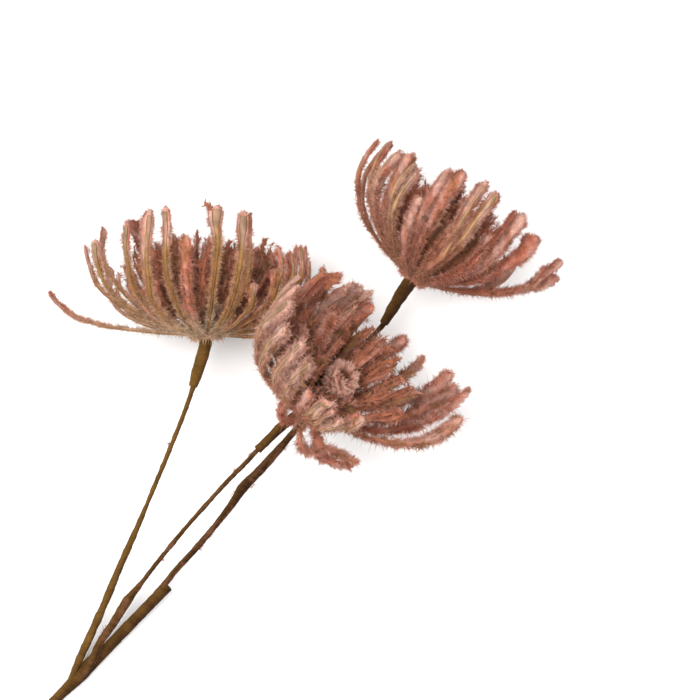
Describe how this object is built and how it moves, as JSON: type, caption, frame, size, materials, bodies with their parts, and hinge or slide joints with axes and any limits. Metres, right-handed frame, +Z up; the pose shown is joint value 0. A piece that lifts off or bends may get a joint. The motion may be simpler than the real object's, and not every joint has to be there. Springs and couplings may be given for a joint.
{
  "type": "artificial pincushion protea spray",
  "caption": "Made pincushion protea spray lying down: flocked strap heads on tape-wrapped wire stems that join one main stem.",
  "frame": {"origin": "middle of the bounding box at its foot, on the surface that the spray lies on", "axes": "+Z up from the surface, +Y away from the cut end towards the heads, +X to the right as seen from above with the heads at the far side"},
  "size_m": [0.3082, 0.3404, 0.1179],
  "materials": {
    "tape": "waxed paper tape, dull with a faint sheen",
    "straps": "rose flock on olive-brown moulded straps",
    "brush": "rose-brown flock, matte",
    "button": "grey-mauve pile, matte"
  },
  "bodies": {
    "root": {"trunk": "tape", "stem_a": "tape", "stem_b": "tape", "stem_c": "tape", "collar_a": "tape", "collar_b": "tape", "collar_c": "tape", "straps_a": "straps", "straps_b": "straps", "straps_c": "straps", "brush_a": "brush", "brush_b": "brush", "brush_c": "brush", "button_a": "button", "button_b": "button", "button_c": "button"}
  },
  "joints": []
}
